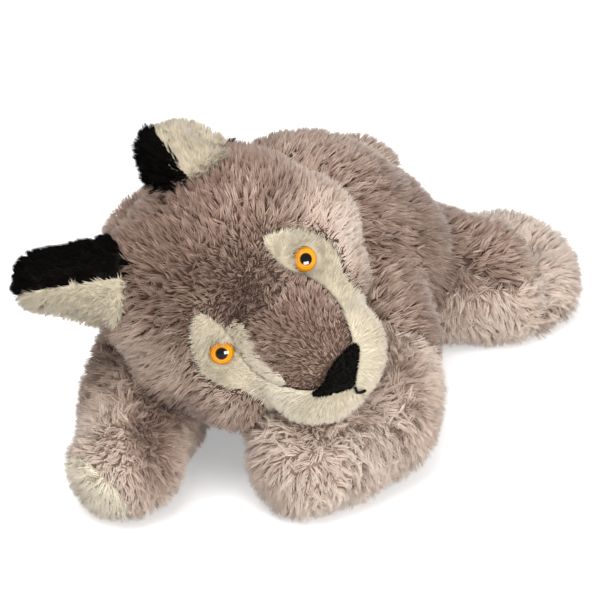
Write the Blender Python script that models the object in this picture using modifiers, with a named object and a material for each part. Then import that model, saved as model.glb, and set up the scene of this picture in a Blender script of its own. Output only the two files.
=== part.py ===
"""A plush wolf lying on its belly with its head tilted over its forelegs.

X runs to the right of the picture, Y away from it and Z up, and the numbers below are millimetres.
Each stuffed piece starts as a few balls that are joined, smoothed and thinned out, and is then cut
where it meets the floor or a neighbour. The head has its own axes: forward, left and up, from a point
midway between the eyes.
"""

import math

import bmesh
import bpy
from mathutils import Matrix, Vector
from mathutils.bvhtree import BVHTree

MM = 0.001

# How pieces meet
FIT = 0.3  # gap between two pieces that touch
PANEL = 4.5  # thickness of a set-in panel of cloth with its pile
GRAIN = 2.6  # grid on which the balls of one piece are joined
GROUND_AT = 120.0  # middle of the ground's block, behind the head
GROUND_DEEP = 60.0

# Where the head is and how it is turned
HEAD_AT = Vector((-17.8, 24.5, 101.0))
HEAD_TURN = math.radians(-54.7)
HEAD_NOD = math.radians(8.5)
HEAD_TILT = math.radians(41.8)
FACE_SLOPE = math.radians(50.0)  # the face panels are cut out looking down the brow at this slope

# Head: middle and half sizes, forward, left, up
SKULL_AT = Vector((-38, 0, 6))
SKULL = Vector((46, 62, 46))
CHEEK_AT = Vector((-26, 40, -14))
CHEEK = Vector((30, 28, 30))
BRIDGE_AT = Vector((15, 0, -10))
BRIDGE = Vector((32, 25, 17))
MUZZLE_AT = Vector((36, 0, -20))
MUZZLE = Vector((27, 32, 22))
JOWL_RIGHT_AT = Vector((-4, -36, -25))
JOWL_RIGHT = Vector((27, 25, 26))
JOWL_LEFT_AT = Vector((-7, 31, -24))  # pressed in by the shoulder
JOWL_LEFT = Vector((26, 23, 24))
JAW_AT = Vector((12, 0, -24))
JAW = Vector((32, 36, 20))

# Cream face panel, down the brow and out from the middle line
FACE_PANEL = (
    (47, 0.2),
    (46, 13),
    (38, 19),
    (25, 26),
    (8, 25),
    (-4, 19),
    (-24, 22),
    (-14, 37),
    (0, 44.5),
    (12, 42),
    (20, 36),
    (38, 34),
    (44, 52),
    (84, 52),
    (84, 0.2),
)
PANEL_BACK = -45.0  # how far behind the eyes the panels reach

# Eyes
EYE_OUT = 29.6  # each eye's middle from the middle line
EYE_R = 6.2
EYE_DOME = 3.9
EYE_LOOK = Vector((0.76, 0.16, 0.62))
STEM_R = 2.0
STEM_LONG = 14.0
WASHER_R = 7.0
WASHER_THICK = 1.6
WASHER_DEEP = 10.5  # from the eye's seat to the washer

# Nose and mouth
NOSE = (
    (43, 0),
    (43.5, 12),
    (44.5, 16.5),
    (48, 15),
    (54, 6),
    (58, 0),
    (54, -6),
    (48.5, -14.5),
    (44.5, -16.5),
    (46.4, -9),
)
NOSE_THICK = 3.4
STITCH_R = 0.8
STITCH = ((57.5, 0), (59.8, -0.9), (61, 0.2), (62.2, 2.4))

# Ears: middle of the base, the tip and half widths at the base, forward, left, up
EAR_BASE_RIGHT = Vector((-51, -40, 31))
EAR_TIP_RIGHT = Vector((-79.5, -70, 56))
EAR_OPEN_RIGHT = Vector((0.60, -0.70, -0.30))
EAR_BASE_LEFT = Vector((-54, 26, 32))
EAR_TIP_LEFT = Vector((-84, 30.5, 43))
EAR_OPEN_LEFT = Vector((0.60, 0.78, 0.12))
EAR_WIDE = 25.0
EAR_DEEP = 24.0
EAR_TIP_WIDE_RIGHT = 19.0
EAR_TIP_WIDE_LEFT = 23.0
EAR_TIP_DEEP = 13.0
EAR_TIP_LONG = 9.0
EAR_SEAM_RIGHT = math.radians(10.0)  # how far the seam leans over the lining towards the tip
EAR_SEAM_LEFT = math.radians(-9.0)
EAR_CUT = 160.0  # reach of the blocks that part an ear's back from its lining

# Torso: x, y, z and radius of each ball
NECK = (-64, 106, 86, 38)
CHEST = (-44.9, 128, 52, 54)
BARREL = (3, 156, 66, 61)
MIDDLE = (24, 168, 53, 55)
HIP = (46, 185, 41, 40)
RUMP = (69, 196, 31, 37)
THIGH_LEFT = (98, 192, 33.5, 28)
THIGH_RIGHT = (30, 251, 56, 28)
HIP_RIGHT = (26, 226, 46, 33)
ARM_LEFT = ((40, 98, 42, 32), (30, 128, 52, 34))
ARM_RIGHT = ((-73, 78, 38, 33), (-62, 102, 46, 33))

# Limbs and tail, from the far end to the body: x, y, z and radius
FORELEG_RIGHT = ((-83, 6.4, 26.1, 28.6), (-82, 26, 27, 27.5), (-77, 50, 31, 34))
FORELEG_LEFT = ((0.5, 9, 25.7, 28.2), (22, 22, 27, 29), (38, 40, 29, 32), (40.6, 66, 31, 33))
HIND_RIGHT = ((6, 284, 19, 20.5), (20, 284, 20, 22), (34, 280, 22, 24), (32, 262, 30, 25))
HIND_LEFT = ((109, 182.5, 19.5, 22), (94, 181, 22.5, 25), (74, 179, 28, 28))
TAIL = (
    (123, 183.5, 7.2, 9.7),
    (134, 196, 12.7, 15.2),
    (134, 206, 16, 18.5),
    (133, 222, 17, 19.5),
    (127, 239, 17.5, 20),
    (114, 250, 18, 20),
    (99, 241, 24, 17),
    (86, 222, 30, 16),
)

# Cream soles: which way each paw's patch faces and how wide it is
SOLE_FORE_RIGHT = Vector((-0.68, -0.62, -0.40))
SOLE_FORE_LEFT = Vector((0.45, -0.35, -0.82))
SOLE_HIND_RIGHT = Vector((-0.75, 0.30, -0.58))
SOLE_HIND_LEFT = Vector((0.30, -0.12, -0.95))
SOLE_WIDE = 21.0
SOLE_THICK = 3.0

FLAT = math.radians(1.0)  # faces that lie this near one plane are joined

# Triangles kept in each stuffed piece
HEAD_FACES = 960
TORSO_FACES = 980
LIMB_FACES = 460
HIND_FACES = 300
TAIL_FACES = 360
EAR_FACES = 230

TAUPE = (0.36, 0.26, 0.22)
BEIGE = (0.55, 0.43, 0.36)
CREAM = (0.74, 0.68, 0.54)
BLACK = (0.012, 0.009, 0.010)
AMBER = (0.80, 0.32, 0.02)
WHITE_PLASTIC = (0.80, 0.80, 0.76)


def clear_scene():
    for ob in list(bpy.data.objects):
        bpy.data.objects.remove(ob, do_unlink=True)
    for group in list(bpy.data.collections):
        bpy.data.collections.remove(group)


def make_group(name):
    group = bpy.data.collections.new(name)
    bpy.context.scene.collection.children.link(group)
    return group


def pick(ob):
    bpy.ops.object.select_all(action="DESELECT")
    ob.select_set(True)
    bpy.context.view_layer.objects.active = ob


def settle(ob):
    """Puts an object's place and size into its mesh."""
    pick(ob)
    bpy.ops.object.transform_apply(location=True, rotation=True, scale=True)
    return ob


def apply_modifier(ob, kind, **settings):
    pick(ob)
    modifier = ob.modifiers.new(kind.title(), kind)
    for name, value in settings.items():
        setattr(modifier, name, value)
    bpy.ops.object.modifier_apply(modifier=modifier.name)
    return ob


def copy_of(ob, name):
    twin = ob.copy()
    twin.data = ob.data.copy()
    twin.name = name
    bpy.context.scene.collection.objects.link(twin)
    return twin


def shifted_skin(ob, name, out):
    """A copy whose skin lies this far outside the original, or inside it when negative."""
    return apply_modifier(copy_of(ob, name), "DISPLACE", strength=out * MM, mid_level=0.0)


def boolean(ob, other, operation):
    return apply_modifier(ob, "BOOLEAN", operation=operation, object=other, solver="EXACT")


def ball(at, radii, frame=None, rounds=3):
    """An ellipsoid at a place in the given frame."""
    bpy.ops.mesh.primitive_ico_sphere_add(subdivisions=rounds, radius=1.0)
    ob = bpy.context.object
    place = Matrix.Translation(Vector(at) * MM) @ Matrix.Diagonal((*(Vector(radii) * MM), 1.0))
    ob.matrix_world = place if frame is None else frame @ place
    return settle(ob)


def joined(balls, name):
    bpy.ops.object.select_all(action="DESELECT")
    for ob in balls:
        ob.select_set(True)
    bpy.context.view_layer.objects.active = balls[0]
    bpy.ops.object.join()
    ob = bpy.context.object
    ob.name = name
    return ob


def stuffed(balls, name, faces, rounds=10):
    """Joins balls into one smooth skin with about this many triangles."""
    ob = joined(balls, name)
    apply_modifier(ob, "REMESH", mode="VOXEL", voxel_size=GRAIN * MM, adaptivity=0.0)
    apply_modifier(ob, "SMOOTH", factor=0.5, iterations=rounds)
    apply_modifier(ob, "TRIANGULATE")
    apply_modifier(ob, "DECIMATE", ratio=faces / len(ob.data.polygons))
    return ob


def chain(stations, step=5.0):
    """Balls along a path through stations of x, y, z and radius."""
    balls = []
    for here, there in zip(stations, stations[1:]):
        span = (Vector(there[:3]) - Vector(here[:3])).length
        count = max(1, round(span / step))
        for i in range(count):
            share = i / count
            at = Vector(here[:3]).lerp(Vector(there[:3]), share)
            radius = here[3] + (there[3] - here[3]) * share
            balls.append(ball(at, (radius, radius, radius)))
    end = stations[-1]
    balls.append(ball(end[:3], (end[3],) * 3))
    return balls


def slab(top=0.0):
    """The ground as a cutter, well wider than the wolf, with its top at this height."""
    bpy.ops.mesh.primitive_cube_add(size=1.0)
    ob = bpy.context.object
    ob.name = "ground"
    deep = GROUND_DEEP * MM
    ob.scale = (1.0, 1.0, deep)
    ob.location = (0, GROUND_AT * MM, top * MM - deep / 2)
    return settle(ob)


def rounded(outline, rounds):
    """A closed outline with its corners cut off this many times over."""
    points = [Vector(p) for p in outline]
    for _ in range(rounds):
        cut = []
        for i, p in enumerate(points):
            q = points[(i + 1) % len(points)]
            cut.append(p.lerp(q, 0.25))
            cut.append(p.lerp(q, 0.75))
        points = cut
    return points


def turns_left(points):
    return sum(p.x * q.y - q.x * p.y for p, q in zip(points, points[1:] + points[:1])) > 0


def grown(points, grow):
    """The outline moved out by grow all round."""
    side = 1.0 if turns_left(points) else -1.0
    moved = []
    for i, p in enumerate(points):
        before = (p - points[i - 1]).normalized()
        after = (points[(i + 1) % len(points)] - p).normalized()
        along = (before + after).normalized()
        out = Vector((along.y, -along.x)) * side
        moved.append(p + out * (grow / max(0.5, out.dot(Vector((after.y, -after.x)) * side))))
    return moved


def prism(name, points, frame, near, far):
    """A flat outline extruded from near to far along the frame's own Z."""
    curve = bpy.data.curves.new(name, "CURVE")
    curve.dimensions = "2D"
    curve.fill_mode = "BOTH"
    curve.extrude = (far - near) / 2 * MM
    spline = curve.splines.new("POLY")
    spline.points.add(len(points) - 1)
    for knot, p in zip(spline.points, points):
        knot.co = (p.x * MM, p.y * MM, 0.0, 1.0)
    spline.use_cyclic_u = True
    ob = bpy.data.objects.new(name, curve)
    bpy.context.scene.collection.objects.link(ob)
    ob.matrix_world = frame @ Matrix.Translation((0, 0, (near + far) / 2 * MM))
    pick(ob)
    bpy.ops.object.convert(target="MESH")
    ob = bpy.context.object
    solid = bmesh.new()
    solid.from_mesh(ob.data)
    bmesh.ops.remove_doubles(solid, verts=solid.verts, dist=1e-6)
    bmesh.ops.recalc_face_normals(solid, faces=solid.faces)
    solid.to_mesh(ob.data)
    solid.free()
    return settle(ob)


def turned(name, profile, frame, steps=16):
    """A profile of radius and height turned round the frame's Z."""
    mesh = bpy.data.meshes.new(name)
    points = [(r * MM, 0.0, z * MM) for r, z in profile]
    mesh.from_pydata(points, [(i, i + 1) for i in range(len(points) - 1)], [])
    ob = bpy.data.objects.new(name, mesh)
    bpy.context.scene.collection.objects.link(ob)
    apply_modifier(
        ob,
        "SCREW",
        steps=steps,
        render_steps=steps,
        use_merge_vertices=True,
        merge_threshold=0.00005,
        use_smooth_shade=True,
    )
    solid = bmesh.new()
    solid.from_mesh(ob.data)
    bmesh.ops.remove_doubles(solid, verts=solid.verts, dist=1e-6)
    bmesh.ops.recalc_face_normals(solid, faces=solid.faces)
    solid.to_mesh(ob.data)
    solid.free()
    ob.matrix_world = frame
    return settle(ob)


def looking(at, way, frame):
    """A frame at a place of the given one, with its Z along way."""
    spin = Vector(way).to_track_quat("Z", "Y").to_matrix().to_4x4()
    return frame @ Matrix.Translation(Vector(at) * MM) @ spin


def tree_of(ob):
    graph = bpy.context.evaluated_depsgraph_get()
    return BVHTree.FromObject(ob, graph)


def skin_point(tree, frame, s, out):
    """Where the face's skin is at a place down the brow, looking back along the panels' direction."""
    start = frame @ Vector((s * MM, out * MM, 0.2))
    way = (frame.to_3x3() @ Vector((0, 0, -1))).normalized()
    point, normal, _, _ = tree.ray_cast(start, way)
    return point, normal


def material(name, colour, roughness):
    found = bpy.data.materials.new(name)
    found.use_nodes = True
    shader = found.node_tree.nodes["Principled BSDF"]
    shader.inputs["Base Color"].default_value = (*colour, 1.0)
    shader.inputs["Roughness"].default_value = roughness
    return found


def finish(ob, name, colour, roughness=0.95):
    """Names a piece, gives it its own material and moves it to the wolf's collection."""
    apply_modifier(ob, "DECIMATE", decimate_type="DISSOLVE", angle_limit=FLAT)
    apply_modifier(ob, "TRIANGULATE")
    ob.name = name
    ob.data.name = name
    ob.data.materials.clear()
    ob.data.materials.append(material(name, colour, roughness))
    for group in list(ob.users_collection):
        group.objects.unlink(ob)
    wolf.objects.link(ob)
    return ob


def put_away(ob):
    """Hides a helper."""
    ob.hide_render = True
    ob.display_type = "WIRE"
    for group in list(ob.users_collection):
        group.objects.unlink(ob)
    cutters.objects.link(ob)


def cut_all(ob, others):
    for other in others:
        boolean(ob, other, "DIFFERENCE")


def mirrored(at):
    return Vector((at[0], -at[1], at[2]))


def head_balls():
    balls = [ball(SKULL_AT, SKULL, head), ball(BRIDGE_AT, BRIDGE, head), ball(MUZZLE_AT, MUZZLE, head)]
    balls.append(ball(JAW_AT, JAW, head))
    balls.append(ball(JOWL_LEFT_AT, JOWL_LEFT, head))
    balls.append(ball(JOWL_RIGHT_AT, JOWL_RIGHT, head))
    balls.append(ball(CHEEK_AT, CHEEK, head))
    balls.append(ball(mirrored(CHEEK_AT), CHEEK, head))
    return balls


def ear(base, tip, opening, tip_wide, name):
    """An ear as a row of flat balls from base to tip, and its frame, with X where it opens."""
    along = (tip - base).normalized()
    out = (opening - along * opening.dot(along)).normalized()
    across = along.cross(out)
    turn = Matrix((out, across, along)).transposed().to_4x4()
    balls = []
    rows = 7
    for i in range(rows):
        share = i / (rows - 1)
        wide = EAR_WIDE + (tip_wide - EAR_WIDE) * share**1.5
        deep = EAR_DEEP + (EAR_TIP_DEEP - EAR_DEEP) * share
        at = base.lerp(tip - along * EAR_TIP_LONG, share)
        spot = head @ Matrix.Translation(at * MM) @ turn
        balls.append(ball((0, 0, 0), (deep, wide, EAR_TIP_LONG), spot))
    return stuffed(balls, name, EAR_FACES, rounds=4), head @ Matrix.Translation(base * MM) @ turn


def half_space(frame, side, gap):
    """A block that covers one side of the frame's own X, and reaches past its middle plane by gap."""
    bpy.ops.mesh.primitive_cube_add(size=1.0)
    ob = bpy.context.object
    reach = EAR_CUT * MM
    place = Matrix.Translation((side * (reach / 2 - gap * MM), 0, 0))
    ob.matrix_world = frame @ place @ Matrix.Diagonal((reach, 2 * reach, 2 * reach, 1.0))
    return settle(ob)


def make_ear(base, tip, opening, tip_wide, lean, word):
    """A black back and a cream lining, sewn edge to edge, the lining hollowed."""
    form, frame = ear(base, tip, opening, tip_wide, "ear_form_" + word)
    boolean(form, head_skin, "DIFFERENCE")
    lining = copy_of(form, "lining")
    seam = frame @ Matrix.Rotation(lean, 4, "Y")
    back_block = half_space(seam, -1, FIT / 2)
    front_block = half_space(seam, 1, FIT / 2)
    reach = (tip - base).length
    hollow_size = (EAR_DEEP * 0.85, EAR_WIDE * 0.72, reach * 0.62)
    hollow = ball((EAR_DEEP * 1.25, 0, reach * 0.45), hollow_size, frame)
    boolean(form, front_block, "DIFFERENCE")
    boolean(lining, back_block, "DIFFERENCE")
    boolean(lining, hollow, "DIFFERENCE")
    for helper in (back_block, front_block, hollow):
        put_away(helper)
    finish(form, "ear_back_" + word, BLACK)
    finish(lining, "ear_lining_" + word, CREAM)


def eye_cutter(frame, name):
    """The room for an eye's seat, stem and washer."""
    back = -STEM_LONG - FIT
    profile = (
        (0, 20),
        (EYE_R + FIT, 20),
        (EYE_R + FIT, -FIT),
        (STEM_R + FIT, -FIT),
        (STEM_R + FIT, -WASHER_DEEP + FIT),
        (WASHER_R + FIT, -WASHER_DEEP + FIT),
        (WASHER_R + FIT, -WASHER_DEEP - WASHER_THICK - FIT),
        (STEM_R + FIT, -WASHER_DEEP - WASHER_THICK - FIT),
        (STEM_R + FIT, back),
        (0, back),
    )
    return turned(name, profile, frame)


def make_eye(frame, word):
    dome = [(0, EYE_DOME)]
    for i in range(1, 6):
        lean = math.pi / 2 * i / 5
        dome.append((EYE_R * math.sin(lean), EYE_DOME * math.cos(lean)))
    dome += [(STEM_R, 0), (STEM_R, -STEM_LONG), (0, -STEM_LONG)]
    finish(turned("eye", dome, frame), "eye_" + word, AMBER, 0.08)
    hole = STEM_R + FIT
    top = -WASHER_DEEP
    ring = (
        (hole, top),
        (WASHER_R, top),
        (WASHER_R, top - WASHER_THICK),
        (hole, top - WASHER_THICK),
        (hole, top),
    )
    finish(turned("washer", ring, frame), "eye_washer_" + word, WHITE_PLASTIC, 0.4)


def make_sole(limb, form, way, stations, word):
    """Cuts a cream patch out of the paw at the end of a limb, whose whole form is given too."""
    x, y, z, radius = stations[0]
    at = Vector((x, y, z)) + way.normalized() * radius
    core = shifted_skin(form, "paw_core", -SOLE_THICK)
    deep_core = shifted_skin(form, "paw_deep_core", -SOLE_THICK - FIT)
    shelf = slab(SOLE_THICK)
    deep_shelf = slab(SOLE_THICK + FIT)
    boolean(core, shelf, "DIFFERENCE")
    boolean(deep_core, deep_shelf, "DIFFERENCE")
    region = ball(at, (SOLE_WIDE,) * 3, rounds=2)
    room = ball(at, (SOLE_WIDE + FIT,) * 3, rounds=2)
    sole = copy_of(limb, "sole")
    boolean(sole, region, "INTERSECT")
    boolean(sole, core, "DIFFERENCE")
    boolean(room, deep_core, "DIFFERENCE")
    boolean(limb, room, "DIFFERENCE")
    for helper in (core, deep_core, shelf, deep_shelf, region, room):
        put_away(helper)
    return finish(sole, "sole_" + word, CREAM)


clear_scene()
wolf = make_group("plush_wolf")
cutters = make_group("cutters")

head = Matrix.Translation(HEAD_AT * MM)
head = head @ Matrix.Rotation(HEAD_TURN, 4, "Z") @ Matrix.Rotation(HEAD_NOD, 4, "Y")
head = head @ Matrix.Rotation(HEAD_TILT, 4, "X")
face = head @ Matrix.Rotation(math.pi / 2 - FACE_SLOPE, 4, "Y")

ground = slab()
head_form = stuffed(head_balls(), "head_form", HEAD_FACES, rounds=8)
head_skin = shifted_skin(head_form, "head_skin", FIT)
head_core = shifted_skin(head_form, "head_core", -PANEL)
head_deep = shifted_skin(head_form, "head_deep", -PANEL - FIT)
head_tree = tree_of(head_form)

eye_frames = {}
for word, side in (("left", 1), ("right", -1)):
    point, _ = skin_point(head_tree, face, 0, side * EYE_OUT)
    at = head.inverted() @ point / MM
    way = Vector((EYE_LOOK.x, side * EYE_LOOK.y, EYE_LOOK.z)).normalized()
    eye_frames[word] = looking(at - way * 0.8, way, head)

eye_rooms = [eye_cutter(frame, "eye_room_" + word) for word, frame in eye_frames.items()]

# Cream face panels, let into the head
rooms = []
for word, side in (("left", 1), ("right", -1)):
    outline = rounded([Vector((s, side * out)) for s, out in FACE_PANEL], 1)
    region = prism("panel_region_" + word, outline, face, PANEL_BACK, 60)
    rooms.append(prism("panel_room_" + word, grown(outline, FIT), face, PANEL_BACK - FIT, 60))
    panel = copy_of(head_form, "panel")
    boolean(panel, region, "INTERSECT")
    boolean(panel, head_core, "DIFFERENCE")
    cut_all(panel, eye_rooms)
    finish(panel, "face_panel_" + word, CREAM)
    put_away(region)
room, other_room = rooms
boolean(room, other_room, "UNION")
boolean(room, head_deep, "DIFFERENCE")
boolean(head_form, room, "DIFFERENCE")
cut_all(head_form, eye_rooms)
put_away(room)
put_away(other_room)

for word, frame in eye_frames.items():
    make_eye(frame, word)

# Nose, a thin pad on the end of the muzzle
nose = shifted_skin(head_skin, "nose", NOSE_THICK)
nose_region = prism("nose_region", rounded(NOSE, 1), face, 0, 60)
boolean(nose, nose_region, "INTERSECT")
boolean(nose, head_skin, "DIFFERENCE")
finish(nose, "nose", BLACK, 0.7)
put_away(nose_region)

# Mouth, a row of thread under the nose
thread = bpy.data.curves.new("mouth", "CURVE")
thread.dimensions = "3D"
thread.bevel_depth = STITCH_R * MM
thread.bevel_resolution = 2
thread.use_fill_caps = True
run = thread.splines.new("POLY")
knots = []
for s, out in STITCH:
    point, normal = skin_point(head_tree, face, s, out)
    if point is not None:
        knots.append(point + normal * (STITCH_R + 2 * FIT) * MM)
run.points.add(len(knots) - 1)
for knot, point in zip(run.points, knots):
    knot.co = (*point, 1.0)
mouth = bpy.data.objects.new("mouth", thread)
bpy.context.scene.collection.objects.link(mouth)
pick(mouth)
bpy.ops.object.convert(target="MESH")
mouth = bpy.context.object
boolean(mouth, shifted_skin(nose, "nose_skin", FIT), "DIFFERENCE")
put_away(bpy.data.objects["nose_skin"])
finish(mouth, "mouth_stitch", BLACK, 0.8)

finish(head_form, "head", TAUPE)

# Ears
make_ear(EAR_BASE_LEFT, EAR_TIP_LEFT, EAR_OPEN_LEFT, EAR_TIP_WIDE_LEFT, EAR_SEAM_LEFT, "left")
make_ear(EAR_BASE_RIGHT, EAR_TIP_RIGHT, EAR_OPEN_RIGHT, EAR_TIP_WIDE_RIGHT, EAR_SEAM_RIGHT, "right")

# Torso
torso_parts = (NECK, CHEST, BARREL, MIDDLE, HIP, RUMP, THIGH_LEFT, THIGH_RIGHT, HIP_RIGHT)
torso_balls = [ball(b[:3], (b[3],) * 3) for b in torso_parts]
torso_balls += chain(ARM_LEFT) + chain(ARM_RIGHT)
torso = stuffed(torso_balls, "torso_form", TORSO_FACES, rounds=14)
boolean(torso, ground, "DIFFERENCE")
torso_skin = shifted_skin(torso, "torso_skin", FIT)
cut_all(torso, [head_skin])
finish(torso, "torso", TAUPE)

# Legs and tail
limbs = (
    ("foreleg_right", FORELEG_RIGHT, LIMB_FACES, SOLE_FORE_RIGHT, BEIGE),
    ("foreleg_left", FORELEG_LEFT, LIMB_FACES, SOLE_FORE_LEFT, BEIGE),
    ("hind_leg_right", HIND_RIGHT, HIND_FACES, SOLE_HIND_RIGHT, BEIGE),
    ("hind_leg_left", HIND_LEFT, HIND_FACES, SOLE_HIND_LEFT, BEIGE),
)
hind_skin = None
for name, stations, count, way, colour in limbs:
    form = stuffed(chain(stations), name + "_form", count, rounds=8)
    limb = copy_of(form, name)
    boolean(limb, ground, "DIFFERENCE")
    skin = shifted_skin(limb, name + "_skin", FIT)
    make_sole(limb, form, way, stations, name)
    put_away(form)
    cut_all(limb, [torso_skin, head_skin])
    finish(limb, name, colour)
    if name == "hind_leg_left":
        hind_skin = skin
    put_away(skin)

tail = stuffed(chain(TAIL), "tail_form", TAIL_FACES, rounds=6)
boolean(tail, ground, "DIFFERENCE")
cut_all(tail, [torso_skin, hind_skin])
finish(tail, "tail", BEIGE)

for helper in (ground, head_skin, head_core, head_deep, torso_skin, *eye_rooms):
    put_away(helper)

# The middle of the box goes over the origin, with its base on the ground
corners = [ob.matrix_world @ v.co for ob in wolf.objects for v in ob.data.vertices]
low = Vector(min(c[i] for c in corners) for i in range(3))
high = Vector(max(c[i] for c in corners) for i in range(3))
home = Vector(((low.x + high.x) / 2, (low.y + high.y) / 2, low.z))
for ob in list(wolf.objects) + list(cutters.objects):
    ob.location -= home
    settle(ob)
print("box", [round(v / MM, 2) for v in high - low], "moved", [round(v / MM, 2) for v in home])
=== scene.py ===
"""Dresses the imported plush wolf: cloth skins, combed pile, glossy eyes, velour nose and a pale stage."""

import math

import bmesh
import bpy
import numpy as np
from bpy.props import FloatProperty, FloatVectorProperty, PointerProperty
from bpy.types import Operator, Panel, PropertyGroup
from mathutils import Matrix, Vector
from mathutils.bvhtree import BVHTree
from mathutils.kdtree import KDTree


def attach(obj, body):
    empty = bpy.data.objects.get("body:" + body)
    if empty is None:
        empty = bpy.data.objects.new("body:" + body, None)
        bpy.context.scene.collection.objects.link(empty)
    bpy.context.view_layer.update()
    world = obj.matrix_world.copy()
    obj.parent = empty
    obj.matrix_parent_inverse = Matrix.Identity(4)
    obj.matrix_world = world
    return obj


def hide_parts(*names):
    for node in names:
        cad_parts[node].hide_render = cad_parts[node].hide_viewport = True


bl_info = {
    "name": "Plush wolf dressing",
    "version": (1, 0, 0),
    "blender": (4, 5, 0),
    "location": "View3D > Sidebar > Plush wolf",
    "description": "Sews the cloth skins, grows the pile and sets the eyes and nose of a lying plush wolf",
    "category": "Object",
}

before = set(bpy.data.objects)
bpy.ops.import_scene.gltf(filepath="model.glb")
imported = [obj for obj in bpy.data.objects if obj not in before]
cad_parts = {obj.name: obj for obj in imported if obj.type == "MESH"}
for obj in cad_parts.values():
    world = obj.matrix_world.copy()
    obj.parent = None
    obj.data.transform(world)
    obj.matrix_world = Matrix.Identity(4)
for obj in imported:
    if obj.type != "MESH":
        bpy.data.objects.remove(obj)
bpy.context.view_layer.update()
BODY = "root"
MM = 0.001
PILE_MAP = "OFBake"

# Places and sizes on the wolf, in millimetres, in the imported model's own frame. An eye has its place, the way
# it looks and the side on which the pile laps over its rim.
NOSE_AT = np.array((8.6, -158.0, 90.0))
CHEEK_AT = np.array((-82.0, -125.0, 77.0))
EYES = {
    "eye_left": ((-6.23, -107.55, 121.59), (0.2445, -0.8573, 0.4531), (-0.5, -0.41, -0.77)),
    "eye_right": ((-45.46, -128.0, 82.63), (0.0303, -0.9701, 0.2408), (0.75, 0.31, 0.58)),
}
EYE_R = 6.2
EYE_DOME = 3.9
EYE_LIP = 0.25
STEM_R = 2.0
STEM_LONG = 14.0
STEM_BEVEL = 0.4


def length_setting(name, description, default, least=1.0):
    """A length that can be set in the sidebar, given in millimetres."""
    return FloatProperty(
        name=name, description=description, default=default * MM, min=least * MM, unit="LENGTH"
    )


def colour_setting(name, description, default):
    """A colour that can be picked in the sidebar."""
    return FloatVectorProperty(name=name, description=description, default=default, size=3, subtype="COLOR")


def power_setting(name, description, default):
    """The power of a lamp, in watts."""
    return FloatProperty(name=name, description=description, default=default, min=0.0, unit="POWER")


class PileSettings(PropertyGroup):
    head_long: length_setting("Head pile", "Length of the pile on the head", 6.4)
    body_long: length_setting("Body pile", "Length of the pile on the body", 7.0)
    leg_long: length_setting("Leg pile", "Length of the shaggy pile on the legs", 7.1)
    tail_long: length_setting("Tail pile", "Length of the shaggy pile on the tail", 9.5)
    ear_long: length_setting("Ear pile", "Length of the black pile on the ears", 5.5)
    cream_long: length_setting("Cream pile", "Length of the short cream pile", 3.6)
    velour_long: length_setting("Nose velour", "Length of the velour on the nose", 1.3, 0.5)
    root_depth: length_setting("Root depth", "How far the roots sit below the face of the cloth", 0.6, 0.0)
    clump: FloatProperty(
        name="Clumping",
        description="How far the tips of neighbouring hairs lean together",
        default=0.45,
        min=0.0,
        max=1.0,
        subtype="FACTOR",
    )


class ColourSettings(PropertyGroup):
    # Umber is painted shade: the hairs of the folds and creases are dyed this dark so that they look shaded.
    fold_shade: colour_setting("Umber", "Darkest hairs, in the folds", (0.088, 0.041, 0.026))
    brown: colour_setting("Brown", "Darkest hairs of the head", (0.20, 0.125, 0.095))
    taupe_deep: colour_setting("Taupe, deep", "Taupe between the tufts", (0.165, 0.10, 0.076))
    taupe: colour_setting("Taupe", "Taupe of the head and body", (0.40, 0.275, 0.215))
    beige_deep: colour_setting("Beige, deep", "Beige between the tufts", (0.58, 0.43, 0.345))
    beige: colour_setting("Beige", "Beige of the legs", (0.75, 0.59, 0.485))
    pale: colour_setting("Pale beige", "Lightest hairs of the legs", (0.90, 0.78, 0.68))
    cream_deep: colour_setting("Cream, deep", "Cream between the tufts", (0.58, 0.505, 0.375))
    cream: colour_setting("Cream", "Cream of the face, ears and soles", (0.71, 0.625, 0.475))
    cream_light: colour_setting("Cream, light", "Cream at the lightest tips", (0.95, 0.865, 0.70))
    black_deep: colour_setting("Black, deep", "Black between the tufts", (0.001, 0.001, 0.001))
    black: colour_setting("Black", "Black of the ears and nose", (0.003, 0.0025, 0.002))
    black_light: colour_setting("Black, light", "Black at the lightest tips", (0.012, 0.010, 0.009))
    amber: colour_setting("Amber", "Amber of the eyes", (0.76, 0.31, 0.008))
    amber_deep: colour_setting("Amber, deep", "Darker rings of the eyes", (0.27, 0.072, 0.003))


class StageSettings(PropertyGroup):
    lens: FloatProperty(name="Lens", description="Focal length in millimetres", default=187.2, min=20.0)
    distance: FloatProperty(
        name="Camera distance", description="Camera to the wolf's face", default=1.5, min=0.2, unit="LENGTH"
    )
    pitch: FloatProperty(
        name="Camera pitch",
        description="How far the camera looks down",
        default=math.radians(28.0),
        subtype="ANGLE",
    )
    aim: FloatVectorProperty(
        name="Aim",
        description="Point at the middle of the picture",
        default=(-0.00793, -0.11041, 0.101),
        size=3,
        unit="LENGTH",
    )
    sky: FloatProperty(
        name="Room light", description="Strength of the even light of the room", default=0.75, min=0.0
    )
    key: power_setting("Key light", "Power of the overhead soft box", 19.0)
    fill: power_setting("Fill light", "Power of the soft box by the camera", 9.0)
    spark: power_setting("Eye light", "Power of the box seen in the eyes", 66.0)


def settings():
    return bpy.context.scene.plush_wolf_pile


def colours():
    return bpy.context.scene.plush_wolf_colours


def stage_settings():
    return bpy.context.scene.plush_wolf_stage


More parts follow.
